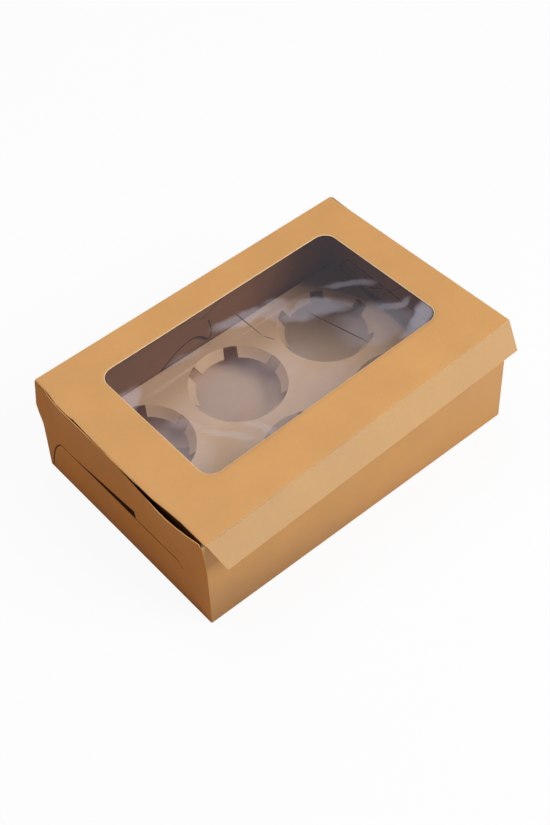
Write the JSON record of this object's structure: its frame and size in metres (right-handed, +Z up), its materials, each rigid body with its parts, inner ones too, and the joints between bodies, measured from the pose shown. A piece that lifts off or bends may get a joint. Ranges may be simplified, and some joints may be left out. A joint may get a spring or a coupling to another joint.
{
  "type": "windowed cupcake box",
  "caption": "Folded kraft card cupcake box with a hinged windowed lid, an open tuck flap along its front and a drop-in tray with petalled cup holes.",
  "frame": {"origin": "centre of the underside of the carton's floor, which rests on the table", "axes": "+X along the length, -Y is the front with the tuck flap, +Z up"},
  "size_m": [0.2454, 0.1765, 0.0899],
  "materials": {
    "kraft_card": "matt, fibrous",
    "kraft_tray": "matt, fibrous",
    "clear_film": "clear, glossy"
  },
  "bodies": {
    "carton": {"base_carton": "kraft_card", "cup_insert": "kraft_tray"},
    "lid": {"lid_panel": "kraft_card", "window_film": "clear_film"},
    "flap": {"tuck_flap": "kraft_card"}
  },
  "joints": [
    {"name": "lid_hinge", "type": "hinge", "parent": "carton", "child": "lid", "pos_m": [0, 0.08075, 0.07975], "axis": [-1, 0, 0], "range_deg": [0, 190]},
    {"name": "tuck_flap_hinge", "type": "hinge", "parent": "lid", "child": "flap", "pos_m": [0, -0.08185, 0.0836], "axis": [0.9988, 0, 0.0499], "range_deg": [-46, 42]}
  ]
}
